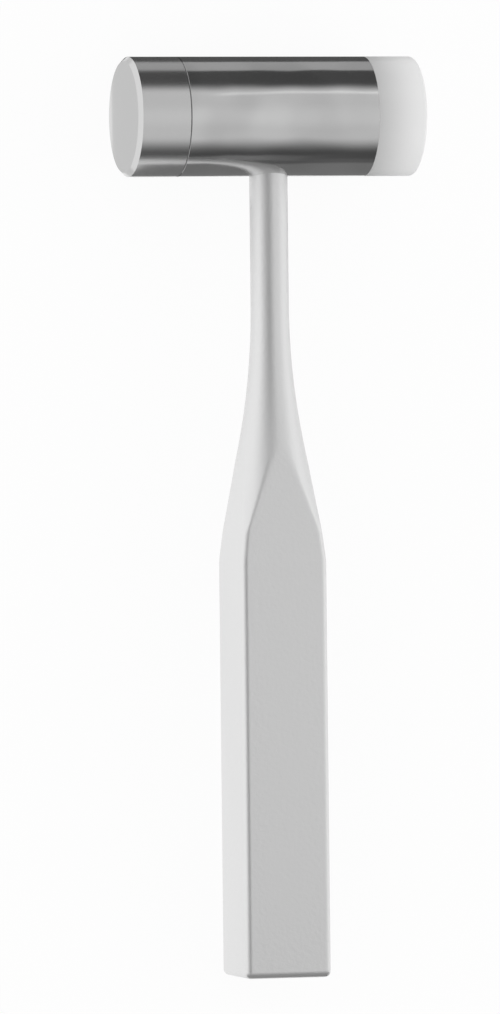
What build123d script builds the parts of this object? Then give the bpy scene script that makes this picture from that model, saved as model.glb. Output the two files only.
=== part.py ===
"""Surgical mallet: a cylindrical steel head with two screw-in striking faces on a one-piece steel handle.

The mallet lies on a table as it comes to rest, on the side of its head and on the lower edge of its grip.
The head's axis runs along X, the steel striking face looks along -X, the plastic one along +X, and the
handle points along -Y. Lengths are in millimetres.
"""
from build123d import *
from math import asin, atan2, cos, hypot, sin, sqrt
import os

# Head: one diameter from face to face
head_diameter = 25.0
head_length = 62.3
steel_face_thickness = 11.15
plastic_face_thickness = 10.4
steel_edge_chamfer = 0.9
plastic_edge_round = 0.6
seam_chamfer = 0.25

# Threaded spigots of the striking faces and their holes in the head, drawn at the thread's outside.
# The chamfer at each hole's mouth leaves room for the thread's run-out
spigot_diameter = 12.0
spigot_length = 9.0
spigot_chamfer = 0.8
hole_end_gap = 1.0
hole_chamfer = 0.5
thread_clearance = 0.04

# Seat of the handle in the head: a flat spot face for the neck's shoulder and a hole for its tenon
shoulder_depth = 1.2
tenon_diameter = 6.0
tenon_length = 7.0
tenon_chamfer = 0.5
tenon_end_gap = 0.5
seat_clearance = 0.02

# Handle: stations along it are measured from the head's axis
handle_length = 179.4
neck_diameter = 8.0
neck_end = 39.5
grip_width = 18.6
grip_corner_round = 1.4
grip_end_round = 1.3

# Flare between neck and grip: the neck opens on a long arc to the round bar that the square is milled
# from, and four gently hollow cheeks cut it back to the square
flare_radius = 148.0
bar_allowance = 0.2
cheek_start = 52.5
cheek_start_rise = 1.9
cheek_end = 92.5
cheek_radius = 700.0
cheek_blend_radius = 30.0

head_radius = head_diameter / 2
spigot_radius = spigot_diameter / 2
neck_radius = neck_diameter / 2
tenon_radius = tenon_diameter / 2
grip_half = grip_width / 2
flat_half = grip_half - grip_corner_round
bar_radius = hypot(flat_half, flat_half) + grip_corner_round + bar_allowance

# At rest the handle dips until the rounded lower edge of the grip meets the table
edge_reach = handle_length - grip_end_round
edge_drop = grip_half - grip_end_round
dip = asin((head_radius - grip_end_round) / hypot(edge_reach, edge_drop)) - atan2(edge_drop, edge_reach)
length_at_rest = edge_reach * cos(dip) + edge_drop * sin(dip) + grip_end_round + head_radius
head_y = length_at_rest / 2 - head_radius
head_centre = Vector(0, head_y, head_radius)
handle_direction = Vector(0, -cos(dip), -sin(dip))
handle_normal = Vector(0, -sin(dip), cos(dip))

head_axis = Axis(head_centre, (1, 0, 0))
handle_axis = Axis(head_centre, handle_direction)
head_section = Plane(head_centre, x_dir=(0, 1, 0), z_dir=(1, 0, 0))
handle_section = Plane(head_centre, x_dir=(1, 0, 0), z_dir=handle_direction)

steel_seam = steel_face_thickness - head_length / 2
plastic_seam = head_length / 2 - plastic_face_thickness
hole_depth = spigot_length + hole_end_gap
shoulder_station = head_radius - shoulder_depth
tenon_station = shoulder_station - tenon_length

# Head body: the middle of the cylinder, bored at both ends and spot-faced and bored for the handle
with BuildPart() as head_body:
    with BuildSketch(head_section.offset(steel_seam)):
        Circle(head_radius)
    extrude(amount=plastic_seam - steel_seam)
    chamfer(head_body.edges().filter_by(GeomType.CIRCLE).sort_by(Axis.X)[0], seam_chamfer)
    for seam, inward in ((steel_seam, 1), (plastic_seam, -1)):
        with BuildSketch(head_section.offset(seam)):
            Circle(spigot_radius + thread_clearance)
        extrude(amount=inward * hole_depth, mode=Mode.SUBTRACT)
    for end in (0, -1):
        mouth = head_body.edges().filter_by(GeomType.CIRCLE).group_by(Axis.X)[end].sort_by(SortBy.RADIUS)[0]
        chamfer(mouth, hole_chamfer)
    with BuildSketch(handle_section.offset(shoulder_station)):
        Circle(neck_radius + seat_clearance)
    extrude(amount=head_radius, mode=Mode.SUBTRACT)
    with BuildSketch(handle_section.offset(shoulder_station)):
        Circle(tenon_radius + seat_clearance)
    extrude(amount=-(tenon_length + tenon_end_gap), mode=Mode.SUBTRACT)

head_body.part.label = "head_body"


def striking_face(seam, outward, thickness, cut_edge, edge_size):
    """One striking face with its spigot, turned about the head's axis and seated at a seam of the head.

    The outer edge is cut to the given size by the function given, a chamfer or a fillet.
    """
    profile_plane = Plane(head_centre + Vector(seam, 0, 0), x_dir=(outward, 0, 0), z_dir=(0, 1, 0))
    with BuildPart() as face:
        with BuildSketch(profile_plane) as profile:
            with BuildLine():
                Polyline(
                    (-spigot_length, 0),
                    (-spigot_length, spigot_radius - spigot_chamfer),
                    (-spigot_length + spigot_chamfer, spigot_radius),
                    (0, spigot_radius),
                    (0, head_radius),
                    (thickness, head_radius),
                    (thickness, 0),
                    close=True,
                )
            make_face()
            outer_edge = profile.vertices().group_by(Axis.Y)[-1].sort_by(Axis.X)[-1]
            cut_edge(outer_edge, edge_size)
        revolve(axis=head_axis)
    return face


steel_face = striking_face(steel_seam, -1, steel_face_thickness, chamfer, steel_edge_chamfer)
steel_face.part.label = "steel_face"

plastic_face = striking_face(plastic_seam, 1, plastic_face_thickness, fillet, plastic_edge_round)
plastic_face.part.label = "plastic_face"

# Handle: tenon, shoulder, neck, flare and square grip in one piece
flare_rise = bar_radius - neck_radius
flare_end = neck_end + sqrt(flare_rise * (2 * flare_radius - flare_rise))
bar_end = handle_length + bar_allowance

with BuildPart() as handle:
    with BuildSketch(Plane(head_centre, x_dir=handle_direction, z_dir=(1, 0, 0))):
        with BuildLine():
            Polyline(
                (neck_end, neck_radius),
                (shoulder_station, neck_radius),
                (shoulder_station, tenon_radius),
                (tenon_station + tenon_chamfer, tenon_radius),
                (tenon_station, tenon_radius - tenon_chamfer),
                (tenon_station, 0),
                (handle_length, 0),
                (handle_length, bar_radius),
                (flare_end, bar_radius),
            )
            TangentArc((neck_end, neck_radius), (flare_end, bar_radius), tangent=(1, 0))
        make_face()
    revolve(axis=handle_axis)

    # The square, with its rounded long corners
    with BuildSketch(handle_section.offset(tenon_station)):
        RectangleRounded(grip_width, grip_width, grip_corner_round)
    extrude(amount=handle_length - tenon_station, mode=Mode.INTERSECT)

    # The cheeks, cut across the handle one way and then the other
    for across in (Vector(1, 0, 0), handle_normal):
        with BuildSketch(Plane(head_centre, x_dir=handle_direction, z_dir=across)) as outline:
            with BuildLine():
                start = (cheek_start, neck_radius + cheek_start_rise)
                end = (cheek_end, grip_half)
                Polyline((tenon_station, 0), (tenon_station, start[1]), start)
                RadiusArc(start, end, -cheek_radius)
                Polyline(end, (handle_length, grip_half), (handle_length, 0), (tenon_station, 0))
            make_face()
            mirror(about=Plane.XZ)
            blends = outline.vertices().sort_by_distance((cheek_end, grip_half))[0]
            other = outline.vertices().sort_by_distance((cheek_end, -grip_half))[0]
            fillet((blends, other), cheek_blend_radius)
        extrude(amount=grip_width, both=True, mode=Mode.INTERSECT)

    end_face = handle.faces().sort_by(handle_axis)[-1]
    fillet(end_face.edges(), grip_end_round)

handle.part.label = "handle"

os.makedirs("parts", exist_ok=True)
export_step(head_body.part, "parts/head_body.step")
export_step(steel_face.part, "parts/steel_face.step")
export_step(plastic_face.part, "parts/plastic_face.step")
export_step(handle.part, "parts/handle.step")
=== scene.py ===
"""Surgical mallet with a steel and a plastic striking face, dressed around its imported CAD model.

The mallet lies on the side of its head and on the lower edge of its grip. The head's axis runs along X,
the steel striking face looks along -X, the plastic one along +X, and the handle points along -Y.
Lengths are in millimetres and are turned to metres where a mesh, a lamp or the camera is made.
"""

import bpy
import numpy as np
from mathutils import Matrix, Vector


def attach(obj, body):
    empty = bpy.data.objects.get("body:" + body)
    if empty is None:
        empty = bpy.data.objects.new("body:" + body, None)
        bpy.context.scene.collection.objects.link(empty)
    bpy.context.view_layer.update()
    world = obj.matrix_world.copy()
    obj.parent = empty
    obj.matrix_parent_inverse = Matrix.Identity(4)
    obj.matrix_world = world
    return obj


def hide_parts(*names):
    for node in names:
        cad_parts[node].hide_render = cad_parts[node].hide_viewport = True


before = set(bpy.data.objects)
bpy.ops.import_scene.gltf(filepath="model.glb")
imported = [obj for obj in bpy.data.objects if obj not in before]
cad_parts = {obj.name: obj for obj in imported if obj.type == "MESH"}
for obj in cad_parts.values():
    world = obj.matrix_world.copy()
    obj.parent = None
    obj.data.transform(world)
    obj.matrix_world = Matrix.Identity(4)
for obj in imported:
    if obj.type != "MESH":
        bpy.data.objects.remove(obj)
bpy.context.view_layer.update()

MM = 0.001

# Head, with the two screwed-in striking faces
HEAD_DIAMETER = 25.0
HEAD_LENGTH = 62.3
STEEL_FACE_THICKNESS = 11.15
PLASTIC_FACE_THICKNESS = 10.4
STEEL_EDGE = 0.9
PLASTIC_EDGE = 0.6
SEAM_CHAMFER = 0.25
SPIGOT_DIAMETER = 12.0
SPIGOT_LENGTH = 9.0
SPIGOT_CHAMFER = 0.8
HOLE_END_GAP = 1.0
HOLE_CHAMFER = 0.5
THREAD_CLEARANCE = 0.04

# Handle, with stations measured from the head's axis
HANDLE_LENGTH = 179.4
NECK_DIAMETER = 8.0
NECK_END = 39.5
SHOULDER_DEPTH = 1.2
TENON_DIAMETER = 6.0
TENON_LENGTH = 7.0
TENON_CHAMFER = 0.5
TENON_END_GAP = 0.5
SEAT_CLEARANCE = 0.02
GRIP_WIDTH = 18.6
GRIP_CORNER = 1.4
GRIP_END = 1.3
FLARE_RADIUS = 148.0
CHEEK_START = 52.5
CHEEK_START_RISE = 1.9
CHEEK_END = 92.5
CHEEK_RADIUS = 700.0

# How finely the meshes are drawn, and how far creases are rounded. An edge that the source draws sharp
# gets the crisp one
CRISP_EDGE = 0.04
ARCH_SOFTNESS = 0.12
CHEEK_SOFTNESS = 0.05
ROUND_SEGMENTS = 256
SEAT_SEGMENTS = 128
ARC_STEPS = 6
LONGEST_STRETCH = 1.0
CORNER_CROWDING = 0.7
FLARE_TO = 100.0
FLARE_STEP = 0.4
GRIP_STEP = 1.0
END_STEPS = 8

HEAD_RADIUS = HEAD_DIAMETER / 2
NECK_RADIUS = NECK_DIAMETER / 2
GRIP_HALF = GRIP_WIDTH / 2

# The handle dips until the rounded lower edge of the grip's end meets the table
EDGE_REACH = HANDLE_LENGTH - GRIP_END
EDGE_DROP = GRIP_HALF - GRIP_END
EDGE_BELOW_AXIS = HEAD_RADIUS - GRIP_END
DIP = np.arcsin(EDGE_BELOW_AXIS / np.hypot(EDGE_REACH, EDGE_DROP)) - np.arctan2(EDGE_DROP, EDGE_REACH)
LENGTH_AT_REST = EDGE_REACH * np.cos(DIP) + EDGE_DROP * np.sin(DIP) + GRIP_END + HEAD_RADIUS
HEAD_CENTRE = np.array([0, LENGTH_AT_REST / 2 - HEAD_RADIUS, HEAD_RADIUS])
ACROSS = np.array([1.0, 0, 0])
ALONG_HANDLE = np.array([0, -np.cos(DIP), -np.sin(DIP)])
HANDLE_NORMAL = np.array([0, -np.sin(DIP), np.cos(DIP)])
TABLE_LEVEL = np.array([0, 1.0, 0])

# Camera, in the handle's own directions: seen from above and from the steel face's side, with a scale in
# the picture's pixels per millimetre
VIEW_YAW = np.radians(16.0)
VIEW_PITCH = np.radians(0.68)
VIEW_ROLL = np.radians(-0.633)
VIEW_DISTANCE = 2000.0
VIEW_TARGET_ACROSS = -4.76
VIEW_TARGET_ALONG = 81.40
PIXELS_PER_MM = 4.794
PICTURE_HEIGHT = 1014
SENSOR = 36.0
CLIP_NEAR = 10.0
CLIP_FAR = 20000.0

# Finishes: the size and depth of each pattern. The turning marks and the blasted grain are drawn coarser
# than real ones, so that a picture shows them. A stretched pattern gives its number of waves in a metre
# along the head and across it
BUFF_WAVES = (60, 110, 110)
BUFF_DEPTH = 0.3
CLOUD_SIZE = 11.0
# How far the painted shade at the steel face's seam groove blends into the steel
PAINTED_SEAM_SHADE = 0.05
TURNING_PITCH = 0.35
TURNING_DEPTH = 0.006
PLASTIC_MARKS = (3300, 40, 40)
PLASTIC_MARK_DEPTH = 0.01
# Where the painted shade on the plastic face starts before its seam and where it ends beyond it
PAINTED_PLASTIC_SHADE_BEFORE = 4.0
PAINTED_PLASTIC_SHADE_BEYOND = 11.0
GRAIN_SIZE = 0.9
GRAIN_DEPTH = 0.08

# Cloths of the studio: the colour or, where one shades into another, both colours, where the change starts
# and ends, and the point that it is measured from, if it isn't the table's height
OVERHEAD = "#D7D7D7"
HOT_SPOT = np.array([630.0, 0, 2200])
CLOTHS = {
    "overhead_cloth": ("#E2E2E2", OVERHEAD, 100, 1100, HOT_SPOT),
    "tall_flag_cloth": ("#4E4E4E", OVERHEAD, 100, 187),
    "low_flag_cloth": ("#505050", OVERHEAD, 75, 300),
    "strip_cloth": ("#FFFFFF",),
    "pale_cloth": ("#B0B0B0",),
    # Dark of the painted shadow card beyond the head, and of the flag behind the camera
    "dark_cloth": ("#585858",),
    # Grey of the painted shadow slats under the neck, and of the flag at the grip's end
    "near_slat_cloth": ("#7E7E7E",),
    "far_slat_cloth": ("#606060",),
    # Grey of the painted shadow card beside the steel face
    "painted_shadow_side_cloth": ("#DEDEDE",),
    "grey_cloth": ("#BABABA",),
}

# Flags, cards and strips that the head mirrors: the centre from the point of the table under the head, the
# two half sides and the cloth
FLAGS = {
    "flag_beyond_head": ((70, 175, 94), (100, 0, 0), (0, 0, 94), "tall_flag_cloth"),
    "strip_beyond_head": ((102, 175, 203), (42, 0, 0), (0, 0, 14.5), "strip_cloth"),
    "card_beyond_head": ((70, 104, 0.3), (100, 0, 0), (0, 70, 0), "pale_cloth"),
    # The dark card on the table next to the head is painted shadow: the head mirrors it as its own shade on
    # the table.
    "painted_shadow_card_beyond_head": ((30, 17, 0.4), (60, 0, 0), (0, 17, 0), "dark_cloth"),
    "flag_beyond_grip": ((80, -261, 150), (180, 0, 0), (0, 0, 150), "low_flag_cloth"),
    "flag_at_grip_end": ((0, -203, 22), (60, 0, 0), (0, 0, 22), "near_slat_cloth"),
    # The grey card beside the steel face is painted shadow: the face mirrors it as the head's shade on the
    # table.
    "painted_shadow_card_left_of_head": ((-51, 0, 0.4), (19, 0, 0), (0, 25, 0), "painted_shadow_side_cloth"),
}

# Rows of slats on the table, from under the head's edge to the low flag, with the middle and half the width
# of each row. The near rows lean to the right, as the rays that the head mirrors do
SLAT_HEIGHT = 1.0
SLATS_FROM = -11.0
# The near rows are painted shadow: seen from the head, they stand for its own shade on the table
NEAR_ROWS = np.geomspace(5, 66, 54)
NEAR_ROW_MIDDLE = 7.0
NEAR_ROW_HALF = 37.0
NEAR_ROW_LEAN = 0.29
FAR_ROWS = np.geomspace(69, 250, 28)
FAR_ROW_MIDDLE = 65.0
FAR_ROW_HALF = 54.0

# The table and the cloth over it, what hangs behind the camera, the two lamps, and how far the paper on the
# table is lifted to plain white where it is seen
TABLE_HALF = 3000.0
OVERHEAD_CENTRE = np.array([150.0, -900, 2200])
OVERHEAD_HALF_WIDTH = 2750.0
OVERHEAD_HALF_DEPTH = 3900.0
BEHIND_CAMERA = 1600.0
BEHIND_CAMERA_ALONG = 90.0
BEHIND_FLAG_HALF_WIDTH = 430.0
BESIDE_FLAG_SHIFT = 1000.0
BESIDE_FLAG_HALF_WIDTH = 570.0
BEHIND_HALF_HEIGHT = 700.0
BOX_WIDTH = 1200.0
BOX_HEIGHT = 900.0
BOX_REACH = 900.0
BOX_LEVEL = 450.0
LEFT_BOX_WATTS = 1.2
RIGHT_BOX_WATTS = 2.0
FLOOR_LIFT = 0.93


def linear(hex_colour):
    """An sRGB hex colour as linear RGBA."""
    srgb = np.array([int(hex_colour[i : i + 2], 16) for i in (1, 3, 5)]) / 255
    rgb = np.where(srgb <= 0.04045, srgb / 12.92, ((srgb + 0.055) / 1.055) ** 2.4)
    return (*rgb.tolist(), 1.0)


def set_camera():
    """A long lens above the mallet, turned about the handle so that the steel face shows.

    Returns the direction from the mallet to the camera.
    """
    outward = np.cos(VIEW_PITCH)
    away = np.array([-np.sin(VIEW_YAW) * outward, np.sin(VIEW_PITCH), np.cos(VIEW_YAW) * outward])
    level = np.cross([0, 1, 0], away)
    level /= np.linalg.norm(level)
    upright = np.cross(away, level)
    right = level * np.cos(VIEW_ROLL) + upright * np.sin(VIEW_ROLL)
    up = upright * np.cos(VIEW_ROLL) - level * np.sin(VIEW_ROLL)
    basis = np.stack([ACROSS, -ALONG_HANDLE, HANDLE_NORMAL], 1)
    right, up, away = (basis @ v for v in (right, up, away))
    target = HEAD_CENTRE + VIEW_TARGET_ACROSS * ACROSS + VIEW_TARGET_ALONG * ALONG_HANDLE
    camera = bpy.data.objects.new("camera", bpy.data.cameras.new("camera"))
    matrix = np.eye(4)
    matrix[:3, :3] = np.stack([right, up, away], 1)
    matrix[:3, 3] = (target + VIEW_DISTANCE * away) * MM
    camera.matrix_world = Matrix(matrix.tolist())
    camera.data.sensor_width = SENSOR
    camera.data.lens = PIXELS_PER_MM * VIEW_DISTANCE * SENSOR / PICTURE_HEIGHT
    camera.data.clip_start = CLIP_NEAR * MM
    camera.data.clip_end = CLIP_FAR * MM
    bpy.context.scene.collection.objects.link(camera)
    bpy.context.scene.camera = camera
    return away


def add_node(tree, kind, inputs=None, **settings):
    """Adds a node, sets its properties and gives each input a value or a link from another socket."""
    node = tree.nodes.new(kind)
    for key, value in settings.items():
        setattr(node, key, value)
    for key, value in (inputs or {}).items():
        if isinstance(value, bpy.types.NodeSocket):
            tree.links.new(value, node.inputs[key])
        else:
            node.inputs[key].default_value = value
    return node


def shaded_colour(tree, value, low, high, low_colour, high_colour):
    """A colour that passes smoothly from one to another while a value goes from low to high."""
    share = add_node(
        tree,
        "ShaderNodeMapRange",
        {"Value": value, "From Min": low, "From Max": high},
        interpolation_type="SMOOTHSTEP",
    )
    ends = [linear(c) if isinstance(c, str) else c for c in (low_colour, high_colour)]
    mix = add_node(tree, "ShaderNodeMix", data_type="RGBA")
    for key, end in zip((0, 6, 7), (share.outputs[0], *ends)):
        if isinstance(end, bpy.types.NodeSocket):
            tree.links.new(end, mix.inputs[key])
        else:
            mix.inputs[key].default_value = end
    return mix.outputs[2]


def noise(tree, place, scale, detail):
    """A noise pattern with the given number of waves in each unit of the place that it reads."""
    values = {"Vector": place, "Scale": scale, "Detail": detail}
    return add_node(tree, "ShaderNodeTexNoise", values).outputs["Fac"]


def relief(tree, height, depth, strength=1.0):
    """Normals as on a surface that a pattern raises by up to the given depth."""
    values = {"Height": height, "Strength": strength, "Distance": depth * MM}
    return add_node(tree, "ShaderNodeBump", values).outputs[0]


def new_material(name):
    """A material and its node tree, which is empty and filled by the caller."""
    material = bpy.data.materials.new(name)
    material.use_nodes = True
    material.node_tree.nodes.clear()
    return material, material.node_tree


def finish_material(tree, shader):
    """Links the finished shader to the material's output."""
    add_node(tree, "ShaderNodeOutputMaterial", {"Surface": shader})


def mesh_object(name, points, faces, normals, material):
    """A mesh object at the origin from points in millimetres, with a normal given for each point."""
    mesh = bpy.data.meshes.new(name)
    mesh.from_pydata((points * MM).tolist(), [], faces)
    mesh.polygons.foreach_set("use_smooth", np.ones(len(mesh.polygons), bool))
    mesh.normals_split_custom_set_from_vertices(normals.tolist())
    mesh.materials.append(material)
    piece = bpy.data.objects.new(name, mesh)
    bpy.context.scene.collection.objects.link(piece)
    return piece


def ring_faces(rings, segments):
    """Quads between neighbouring rings, and triangles to the point before the first and after the last."""
    ring, step = np.meshgrid(np.arange(rings - 1), np.arange(segments), indexing="ij")
    a = 1 + ring * segments + step
    b = 1 + ring * segments + (step + 1) % segments
    quads = np.stack([a, b, b + segments, a + segments], -1).reshape(-1, 4)
    around = np.arange(segments)
    after = (around + 1) % segments
    last = 1 + (rings - 1) * segments
    start = np.stack([np.zeros(segments, int), 1 + after, 1 + around], -1)
    end = np.stack([np.full(segments, last + segments), last + around, last + after], -1)
    return quads.tolist() + start.tolist() + end.tolist()


def rounded_outline(corners):
    """A turned profile through (station, radius, rounding) corners, which start and end on the axis.

    Each corner is cut back by a circular arc tangent to its two sides, and each side is divided into
    stretches no longer than the longest allowed. Returns the points and the outward normals there, which
    point to the left of the path.
    """
    corners = np.array(corners, float)
    arcs, arc_normals = [], []
    for before, corner, after in zip(corners[:-2], corners[1:-1], corners[2:]):
        into = (corner - before)[:2] / np.hypot(*(corner - before)[:2])
        out = (after - corner)[:2] / np.hypot(*(after - corner)[:2])
        turn = np.arccos(np.clip(into @ out, -1, 1))
        bend = np.sign(into[0] * out[1] - into[1] * out[0])
        left = np.array([-into[1], into[0]])
        start = corner[:2] - corner[2] * np.tan(turn / 2) * into
        angle = np.linspace(0, turn, ARC_STEPS)[:, None]
        spoke = -bend * left * np.cos(angle) + into * np.sin(angle)
        arcs.append(start + corner[2] * (bend * left + spoke))
        arc_normals.append(-bend * spoke)
    points, normals = [arcs[0]], [arc_normals[0]]
    for arc, arc_normal in zip(arcs[1:], arc_normals[1:]):
        gap = arc[0] - points[-1][-1]
        share = np.linspace(0, 1, int(np.hypot(*gap) // LONGEST_STRETCH) + 2)[1:-1, None]
        points += [points[-1][-1] + gap * share, arc]
        normals += [np.repeat(arc_normal[:1], len(share), 0), arc_normal]
    return np.concatenate(points), np.concatenate(normals)


def turned_piece(name, corners, centre, axis, side, material, segments=ROUND_SEGMENTS):
    """A solid of revolution: each point of the outline goes round the axis at its own radius."""
    outline, normal = rounded_outline(corners)
    first, last = corners[0][0], corners[-1][0]
    angle = np.arange(segments) * 2 * np.pi / segments
    third = np.cross(axis, side)
    spoke = np.cos(angle)[:, None] * side + np.sin(angle)[:, None] * third
    rings = centre + outline[:, None, :1] * axis + outline[:, None, 1:] * spoke
    ups = normal[:, None, :1] * axis + normal[:, None, 1:] * spoke
    points = np.concatenate([[centre + first * axis], rings.reshape(-1, 3), [centre + last * axis]])
    normals = np.concatenate([[-axis], ups.reshape(-1, 3), [axis]])
    return mesh_object(name, points, ring_faces(len(outline), segments), normals, material)


def soft_min(first, second, softness):
    """The smaller of two lengths, with the crease between them rounded off by an exponential blend."""
    return -softness * np.logaddexp(-first / softness, -second / softness)


def cheek_half_width(station):
    """Half the distance between opposite cheeks: a hollow arc that runs into the grip's straight side."""
    start = np.array([CHEEK_START, NECK_RADIUS + CHEEK_START_RISE])
    end = np.array([CHEEK_END, GRIP_HALF])
    chord = end - start
    outward = np.array([-chord[1], chord[0]]) / np.hypot(*chord)
    centre = (start + end) / 2 + outward * np.sqrt(CHEEK_RADIUS**2 - chord @ chord / 4)
    arc = centre[1] - np.sqrt(CHEEK_RADIUS**2 - (station - centre[0]) ** 2)
    return soft_min(arc, GRIP_HALF, CHEEK_SOFTNESS)


def square_reach(direction, half, corner):
    """Distance from the axis to a square's edge in a direction, with corners of a given radius.

    Along a side it is the half width over the cosine of the angle to the side's middle. In a corner it is
    the far root of the distance to the corner's circle.
    """
    across, up = np.abs(np.cos(direction)), np.abs(np.sin(direction))
    side = half / np.maximum(across, up)
    inner = half - corner
    total = across + up
    round_part = inner * total + np.sqrt(np.maximum((inner * total) ** 2 - 2 * inner**2 + corner**2, 0))
    in_corner = np.minimum(across, up) * side > inner
    return np.where(in_corner, round_part, side)


def handle_piece(name, material):
    """The handle as one skin: rings of points round its axis, closed at the tenon's tip and the grip's end.

    A ring's reach in each direction is the soft minimum of a circle, which opens from the neck on a long
    arc, and of the rounded square, which the cheeks narrow towards the neck. Directions crowd at the
    square's corners by adding a sine of four times the angle.
    """
    tenon_tip = HEAD_RADIUS - SHOULDER_DEPTH - TENON_LENGTH
    tenon = TENON_DIAMETER / 2
    turned, _ = rounded_outline(
        [
            (tenon_tip, 0, 0),
            (tenon_tip, tenon - TENON_CHAMFER, CRISP_EDGE),
            (tenon_tip + TENON_CHAMFER, tenon, CRISP_EDGE),
            (HEAD_RADIUS - SHOULDER_DEPTH, tenon, CRISP_EDGE),
            (HEAD_RADIUS - SHOULDER_DEPTH, NECK_RADIUS, CRISP_EDGE),
            (NECK_END, NECK_RADIUS, CRISP_EDGE),
            (HANDLE_LENGTH, NECK_RADIUS, 0),
        ]
    )
    turned = turned[turned[:, 0] < NECK_END]
    flare = np.arange(NECK_END, FLARE_TO, FLARE_STEP)
    straight = np.arange(FLARE_TO, HANDLE_LENGTH - GRIP_END, GRIP_STEP)
    turn = np.linspace(0, np.pi / 2, END_STEPS)
    end = HANDLE_LENGTH - GRIP_END + GRIP_END * np.sin(turn)
    station = np.concatenate([turned[:, 0], flare, straight, end])
    inset = np.concatenate([np.zeros(len(station) - END_STEPS), GRIP_END * (1 - np.cos(turn))])
    along_arc = np.clip(station - NECK_END, 0, FLARE_TO - NECK_END)
    circle = NECK_RADIUS + FLARE_RADIUS - np.sqrt(FLARE_RADIUS**2 - along_arc**2)
    circle[: len(turned)] = turned[:, 1]

    step = np.arange(ROUND_SEGMENTS) * 2 * np.pi / ROUND_SEGMENTS
    direction = step + CORNER_CROWDING * np.sin(4 * step) / 4
    half = cheek_half_width(np.maximum(station, CHEEK_START)) - inset
    square = square_reach(direction, half[:, None], GRIP_CORNER - inset[:, None])
    reach = soft_min(circle[:, None], square, ARCH_SOFTNESS)
    spoke = np.cos(direction)[:, None] * ACROSS + np.sin(direction)[:, None] * HANDLE_NORMAL
    rings = HEAD_CENTRE + station[:, None, None] * ALONG_HANDLE + reach[..., None] * spoke
    around = np.roll(rings, -1, 1) - np.roll(rings, 1, 1)
    along = np.gradient(rings, axis=0)
    normal = np.cross(around, along)
    normal /= np.linalg.norm(normal, axis=2, keepdims=True)
    normal[0], normal[-1] = -ALONG_HANDLE, ALONG_HANDLE
    points = np.concatenate(
        [
            [HEAD_CENTRE + tenon_tip * ALONG_HANDLE],
            rings.reshape(-1, 3),
            [HEAD_CENTRE + HANDLE_LENGTH * ALONG_HANDLE],
        ]
    )
    normals = np.concatenate([[-ALONG_HANDLE], normal.reshape(-1, 3), [ALONG_HANDLE]])
    return mesh_object(name, points, ring_faces(len(station), ROUND_SEGMENTS), normals, material)


def striking_face(name, seam, outward, thickness, edge_corners, material):
    """A striking face turned with its spigot: the outline starts at the spigot's tip."""
    spigot = SPIGOT_DIAMETER / 2
    corners = [
        (-SPIGOT_LENGTH, 0, 0),
        (-SPIGOT_LENGTH, spigot - SPIGOT_CHAMFER, CRISP_EDGE),
        (-SPIGOT_LENGTH + SPIGOT_CHAMFER, spigot, CRISP_EDGE),
        (0, spigot, CRISP_EDGE),
        (0, HEAD_RADIUS, CRISP_EDGE),
        *edge_corners,
        (thickness, 0, 0),
    ]
    centre = HEAD_CENTRE + seam * ACROSS
    return turned_piece(name, corners, centre, outward * ACROSS, TABLE_LEVEL, material)


def read_array(items, attribute, kind, width=1):
    """One attribute of a mesh's vertices, corners or faces as an array, with a row for each of them."""
    values = np.empty(len(items) * width, kind)
    items.foreach_get(attribute, values)
    return values if width == 1 else values.reshape(-1, width)


def cut_seat(body, material):
    """Cuts the handle's seat out of the body: a flat spot face for its shoulder and a hole for its tenon.

    What is left of the round outside keeps the normals of a true cylinder, and the seat is shaded flat.
    """
    tenon = TENON_DIAMETER / 2 + SEAT_CLEARANCE
    neck = NECK_RADIUS + SEAT_CLEARANCE
    shoulder = HEAD_RADIUS - SHOULDER_DEPTH
    tip = shoulder - TENON_LENGTH - TENON_END_GAP
    corners = [
        (tip, 0, 0),
        (tip, tenon, CRISP_EDGE),
        (shoulder, tenon, CRISP_EDGE),
        (shoulder, neck, CRISP_EDGE),
        (2 * HEAD_RADIUS, neck, CRISP_EDGE),
        (2 * HEAD_RADIUS, 0, 0),
    ]
    cutter = turned_piece("seat_cutter", corners, HEAD_CENTRE, ALONG_HANDLE, ACROSS, material, SEAT_SEGMENTS)
    cut = body.modifiers.new("seat", "BOOLEAN")
    cut.operation, cut.solver, cut.object = "DIFFERENCE", "EXACT", cutter
    ready = bpy.context.evaluated_depsgraph_get()
    mesh = bpy.data.meshes.new_from_object(body.evaluated_get(ready), depsgraph=ready)
    body.modifiers.clear()
    bpy.data.objects.remove(cutter)

    place = read_array(mesh.vertices, "co", float, 3) / MM - HEAD_CENTRE
    corner = read_array(mesh.loops, "vertex_index", int)
    normal = read_array(mesh.corner_normals, "vector", float, 3)
    flat = read_array(mesh.polygons, "normal", float, 3)
    first = read_array(mesh.polygons, "loop_start", int)
    sizes = np.diff(np.append(first, len(corner)))

    radial = place * [0, 1, 1]
    outside = np.abs(np.linalg.norm(radial, axis=1) - HEAD_RADIUS) < CRISP_EDGE / 10
    from_handle = np.linalg.norm(np.cross(place, ALONG_HANDLE), axis=1)
    in_seat = (from_handle < neck + CRISP_EDGE) & (place @ ALONG_HANDLE > 0)
    outside, in_seat = (
        np.repeat(np.logical_and.reduceat(on[corner], first), sizes) for on in (outside, in_seat)
    )
    radial = radial[corner]
    normal[in_seat] = np.repeat(flat, sizes, 0)[in_seat]
    normal[outside] = (radial / np.linalg.norm(radial, axis=1, keepdims=True))[outside]
    mesh.normals_split_custom_set(normal.tolist())
    body.data = mesh
    return body


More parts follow.
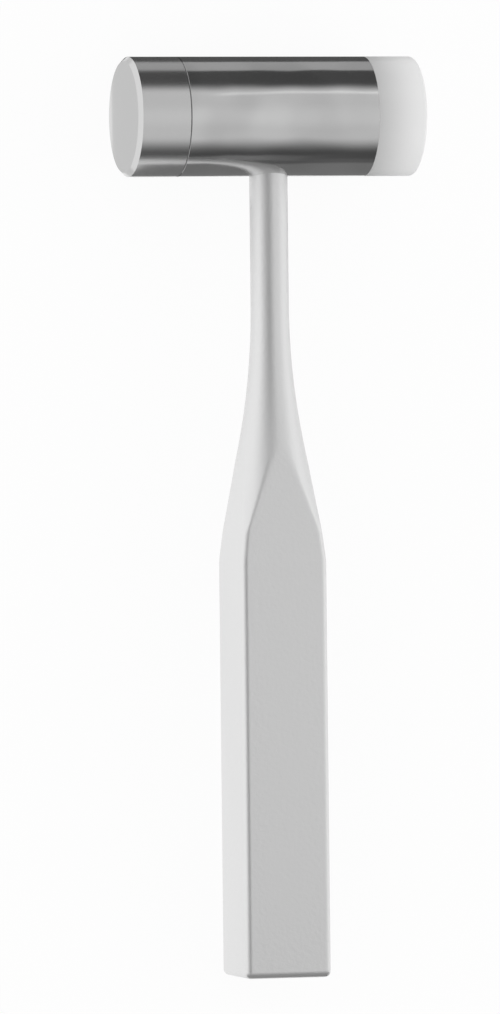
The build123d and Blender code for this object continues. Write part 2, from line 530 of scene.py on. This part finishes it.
def body_piece(name, steel_seam, plastic_seam, material):
    """The middle of the head: a cylinder with a threaded hole in each end and the handle's seat."""
    hole = SPIGOT_DIAMETER / 2 + THREAD_CLEARANCE
    depth = SPIGOT_LENGTH + HOLE_END_GAP
    corners = [
        (steel_seam + depth, 0, 0),
        (steel_seam + depth, hole, CRISP_EDGE),
        (steel_seam + HOLE_CHAMFER, hole, CRISP_EDGE),
        (steel_seam, hole + HOLE_CHAMFER, CRISP_EDGE),
        (steel_seam, HEAD_RADIUS - SEAM_CHAMFER, CRISP_EDGE),
        (steel_seam + SEAM_CHAMFER, HEAD_RADIUS, CRISP_EDGE),
        (plastic_seam, HEAD_RADIUS, CRISP_EDGE),
        (plastic_seam, hole + HOLE_CHAMFER, CRISP_EDGE),
        (plastic_seam - HOLE_CHAMFER, hole, CRISP_EDGE),
        (plastic_seam - depth, hole, CRISP_EDGE),
        (plastic_seam - depth, 0, 0),
    ]
    return cut_seat(turned_piece(name, corners, HEAD_CENTRE, ACROSS, TABLE_LEVEL, material), material)


def polished_steel():
    """Stainless steel turned and buffed: it mirrors its surroundings, a little wavy where the buff dwelt.

    Painted shade darkens its colour on the chamfer of the groove where the steel face is seated.
    """
    material, tree = new_material("polished_stainless_steel")
    place = add_node(tree, "ShaderNodeTexCoord").outputs["Object"]
    stretched = add_node(tree, "ShaderNodeMapping", {"Vector": place, "Scale": BUFF_WAVES}).outputs[0]
    waves = relief(tree, noise(tree, stretched, 1.0, 1.0), BUFF_DEPTH)
    along = add_node(tree, "ShaderNodeSeparateXYZ", {0: place}).outputs["X"]
    seam = (STEEL_FACE_THICKNESS - HEAD_LENGTH / 2 + SEAM_CHAMFER) * MM
    clouds = noise(tree, place, 1 / (CLOUD_SIZE * MM), 1.0)
    steel = shaded_colour(tree, clouds, 0.3, 0.7, "#CECECE", "#DADADA")
    # Painted shade: the colour turns #8C8C8C on the chamfer of the groove at the steel face's seam
    shade = PAINTED_SEAM_SHADE * MM
    colour = shaded_colour(tree, along, seam - shade, seam + shade, "#8C8C8C", steel)
    shader = add_node(
        tree,
        "ShaderNodeBsdfPrincipled",
        {"Base Color": colour, "Metallic": 1.0, "Roughness": 0.14, "Normal": waves},
    )
    finish_material(tree, shader.outputs[0])
    return material


def turned_steel():
    """Stainless steel left as the lathe cut it: fine rings that blur its reflections.

    The rings go round the head's axis, both on the rim and on the flat face.
    """
    material, tree = new_material("finely_turned_stainless_steel")
    place = add_node(tree, "ShaderNodeTexCoord").outputs["Object"]
    pair = {0: place, 1: tuple(HEAD_CENTRE * MM)}
    from_centre = add_node(tree, "ShaderNodeVectorMath", pair, operation="SUBTRACT").outputs[0]
    pair = {0: from_centre, 1: (0, 1, 1)}
    flat = add_node(tree, "ShaderNodeVectorMath", pair, operation="MULTIPLY").outputs[0]
    radius = add_node(tree, "ShaderNodeVectorMath", {0: flat}, operation="LENGTH").outputs["Value"]
    along = add_node(tree, "ShaderNodeSeparateXYZ", {0: place}).outputs["X"]
    rings_at = add_node(tree, "ShaderNodeCombineXYZ", {0: along, 1: radius}).outputs[0]
    rings = relief(tree, noise(tree, rings_at, 1 / (TURNING_PITCH * MM), 2.0), TURNING_DEPTH)
    shader = add_node(
        tree,
        "ShaderNodeBsdfPrincipled",
        {"Base Color": linear("#D5D5D5"), "Metallic": 1.0, "Roughness": 0.2, "Normal": rings},
    )
    finish_material(tree, shader.outputs[0])
    return material


def white_plastic():
    """White plastic, taken to be turned polyamide: a satin skin with faint turning marks.

    It is taken to be translucent but is drawn opaque: its colour is painted darker towards the seam, a
    painted shade for the light that the steel behind its seat would swallow.
    """
    material, tree = new_material("turned_white_polyamide")
    place = add_node(tree, "ShaderNodeTexCoord").outputs["Object"]
    along = add_node(tree, "ShaderNodeSeparateXYZ", {0: place}).outputs["X"]
    seam = (HEAD_LENGTH / 2 - PLASTIC_FACE_THICKNESS) * MM
    painted_shade_darkest, painted_shade_palest = seam - PAINTED_PLASTIC_SHADE_BEFORE * MM, seam + PAINTED_PLASTIC_SHADE_BEYOND * MM
    # Painted shade: the colour goes from #B8B8B8 on the seam's side to #F4F4F4 further out
    colour = shaded_colour(tree, along, painted_shade_darkest, painted_shade_palest, "#B8B8B8", "#F4F4F4")
    stretched = add_node(tree, "ShaderNodeMapping", {"Vector": place, "Scale": PLASTIC_MARKS}).outputs[0]
    marks = relief(tree, noise(tree, stretched, 1.0, 2.0), PLASTIC_MARK_DEPTH)
    shader = add_node(
        tree,
        "ShaderNodeBsdfPrincipled",
        {
            "Base Color": colour,
            "Roughness": 0.4,
            "IOR": 1.53,
            "Specular IOR Level": 0.35,
            "Normal": marks,
        },
    )
    finish_material(tree, shader.outputs[0])
    return material


def satin_steel():
    """Stainless steel blasted with glass beads: a fine even grain that spreads every highlight."""
    material, tree = new_material("bead_blasted_stainless_steel")
    place = add_node(tree, "ShaderNodeTexCoord").outputs["Object"]
    grain = relief(tree, noise(tree, place, 1 / (GRAIN_SIZE * MM), 3.0), GRAIN_DEPTH, 0.5)
    shader = add_node(
        tree,
        "ShaderNodeBsdfPrincipled",
        {"Base Color": linear("#E9E9E9"), "Metallic": 1.0, "Roughness": 0.45, "Normal": grain},
    )
    finish_material(tree, shader.outputs[0])
    return material


def plain_sheet(name, centres, right, up, material, lights_scene=False, camera_sees=False):
    """A flat rectangle of the studio, from its centre and two half sides, or one at each centre of a row.

    A flag only shows in what is polished. A lit cloth lights the scene too, and the table is seen by all.
    """
    corners = np.atleast_2d(centres)[:, None] + np.array([-right - up, right - up, right + up, up - right])
    mesh = bpy.data.meshes.new(name)
    points = corners.reshape(-1, 3) * MM
    mesh.from_pydata(points.tolist(), [], np.arange(len(points)).reshape(-1, 4).tolist())
    mesh.materials.append(material)
    sheet = bpy.data.objects.new(name, mesh)
    bpy.context.scene.collection.objects.link(sheet)
    sheet.visible_camera = camera_sees
    sheet.visible_shadow = camera_sees
    sheet.visible_diffuse = lights_scene


def soft_box(name, place, power):
    """A rectangular lamp at a place, turned towards the point of the table under the mallet's middle."""
    lamp = bpy.data.lights.new(name, "AREA")
    lamp.shape = "RECTANGLE"
    lamp.size, lamp.size_y, lamp.energy = BOX_WIDTH * MM, BOX_HEIGHT * MM, power
    box = bpy.data.objects.new(name, lamp)
    box.location = Vector(place) * MM
    box.rotation_euler = (-Vector(place)).to_track_quat("-Z", "Y").to_euler()
    bpy.context.scene.collection.objects.link(box)
    box.visible_camera = False
    box.visible_glossy = False


def seen_rays(tree):
    """1 on the rays that show the table, straight on, mirrored or through something, and 0 on others."""
    ray = add_node(tree, "ShaderNodeLightPath").outputs
    pair = {0: ray["Is Camera Ray"], 1: ray["Is Glossy Ray"]}
    seen = add_node(tree, "ShaderNodeMath", pair, operation="MAXIMUM")
    pair = {0: seen.outputs[0], 1: ray["Is Transmission Ray"]}
    return add_node(tree, "ShaderNodeMath", pair, operation="MAXIMUM").outputs[0]


def white_surroundings():
    """A plain white world round the studio, behind the object and as its even light."""
    world = bpy.data.worlds.new("white_room")
    bpy.context.scene.world = world
    world.use_nodes = True
    tree = world.node_tree
    tree.nodes.clear()
    light = add_node(tree, "ShaderNodeBackground", {"Color": linear("#FFFFFF"), "Strength": 1.0})
    add_node(tree, "ShaderNodeOutputWorld", {"Surface": light.outputs[0]})


def floor_paper():
    """White paper, lifted towards plain white where it is seen, so that only a soft shadow is left."""
    material, tree = new_material("white_paper")
    lift = add_node(tree, "ShaderNodeMath", {0: seen_rays(tree), 1: FLOOR_LIFT}, operation="MULTIPLY")
    paper = add_node(tree, "ShaderNodeBsdfDiffuse", {"Color": linear("#F8F8F8")})
    white = add_node(tree, "ShaderNodeEmission", {"Color": linear("#FFFFFF"), "Strength": 1.0})
    mix = add_node(
        tree, "ShaderNodeMixShader", {0: lift.outputs[0], 1: paper.outputs[0], 2: white.outputs[0]}
    )
    finish_material(tree, mix.outputs[0])
    return material


def lit_cloth(name, colour, far_colour=None, near=0.0, far=1.0, centre=None):
    """Cloth that glows evenly, or shades from one colour to another.

    It shades between two heights over the table or, where a centre is given, two distances from it.
    """
    material, tree = new_material(name)
    place = add_node(tree, "ShaderNodeTexCoord").outputs["Object"]
    if centre is None:
        reach = add_node(tree, "ShaderNodeSeparateXYZ", {0: place}).outputs["Z"]
    else:
        ends = {0: place, 1: tuple(centre * MM)}
        reach = add_node(tree, "ShaderNodeVectorMath", ends, operation="DISTANCE").outputs["Value"]
    shaded = shaded_colour(tree, reach, near * MM, far * MM, colour, far_colour or colour)
    cloth = add_node(tree, "ShaderNodeEmission", {"Color": shaded, "Strength": 1.0})
    finish_material(tree, cloth.outputs[0])
    return material


def build_stage(towards_camera):
    """The table, the cloths and flags that the metal mirrors, and the lamps.

    The head is a round bar along X, so what it mirrors lies in a ring round that axis, and a little to the
    right, since the camera stands to the left. A tall dark flag stands beyond the head and a low one beyond
    the grip's end, both fading upwards into the pale cloth overhead. Between them stand rows of low dark
    slats. From the head they close up to a dark ground, and from the handle, whose mirrored rays come from
    the side, they leave the table white. The near rows, and the dark card and the grey card on the table
    beside the head, are painted shadow: the metal mirrors them as the head's own shade on the table. One
    flag hangs behind the camera and puts the dark line along the neck. The lamps only light what is matt.
    """
    x, y, z = np.eye(3)
    cloths = {name: lit_cloth(name, *look) for name, look in CLOTHS.items()}
    plain_sheet("table", np.zeros(3), TABLE_HALF * x, TABLE_HALF * y, floor_paper(), True, True)
    over_right, over_up = OVERHEAD_HALF_WIDTH * x, OVERHEAD_HALF_DEPTH * y
    plain_sheet("cloth_overhead", OVERHEAD_CENTRE, over_right, over_up, cloths["overhead_cloth"], True)

    under_head = HEAD_CENTRE * [1, 1, 0]
    for name, (centre, right, up, cloth) in FLAGS.items():
        plain_sheet(name, under_head + centre, np.array(right), np.array(up), cloths[cloth])

    low_half = SLAT_HEIGHT / 2 * z
    start = under_head + SLATS_FROM * y + low_half
    rows = start + NEAR_ROW_MIDDLE * x + NEAR_ROWS[:, None] * (NEAR_ROW_LEAN * x - y)
    # Painted shadow: the near rows stand for the head's shade on the table, as the head mirrors it
    plain_sheet("painted_shadow_slats_under_neck", rows, NEAR_ROW_HALF * x, low_half, cloths["near_slat_cloth"])
    rows = start + FAR_ROW_MIDDLE * x - FAR_ROWS[:, None] * y
    plain_sheet("slats_right_of_grip", rows, FAR_ROW_HALF * x, low_half, cloths["far_slat_cloth"])

    level = np.cross(y, towards_camera)
    behind = HEAD_CENTRE + BEHIND_CAMERA_ALONG * ALONG_HANDLE + BEHIND_CAMERA * towards_camera
    beside = behind - BESIDE_FLAG_SHIFT * level
    tall = BEHIND_HALF_HEIGHT * y
    plain_sheet("flag_behind_camera", behind, BEHIND_FLAG_HALF_WIDTH * level, tall, cloths["dark_cloth"])
    plain_sheet("grey_beside_camera", beside, BESIDE_FLAG_HALF_WIDTH * level, tall, cloths["grey_cloth"])
    soft_box("left_box", (-BOX_REACH, 0, BOX_LEVEL), LEFT_BOX_WATTS)
    soft_box("right_box", (BOX_REACH, 0, BOX_LEVEL), RIGHT_BOX_WATTS)


bpy.context.scene.view_settings.view_transform = "Standard"
away_from_object = set_camera()
white_surroundings()
build_stage(away_from_object)

steel_seam = STEEL_FACE_THICKNESS - HEAD_LENGTH / 2
plastic_seam = HEAD_LENGTH / 2 - PLASTIC_FACE_THICKNESS
steel_edge = [
    (STEEL_FACE_THICKNESS - STEEL_EDGE, HEAD_RADIUS, CRISP_EDGE),
    (STEEL_FACE_THICKNESS, HEAD_RADIUS - STEEL_EDGE, CRISP_EDGE),
]
plastic_edge = [(PLASTIC_FACE_THICKNESS, HEAD_RADIUS, PLASTIC_EDGE)]

pieces = {
    "head_body": body_piece("polished_head_body", steel_seam, plastic_seam, polished_steel()),
    "steel_face": striking_face(
        "turned_steel_face", steel_seam, -1, STEEL_FACE_THICKNESS, steel_edge, turned_steel()
    ),
    "plastic_face": striking_face(
        "white_plastic_face", plastic_seam, 1, PLASTIC_FACE_THICKNESS, plastic_edge, white_plastic()
    ),
    "handle": handle_piece("satin_handle", satin_steel()),
}
for node, piece in pieces.items():
    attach(piece, "root")
    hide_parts(node)
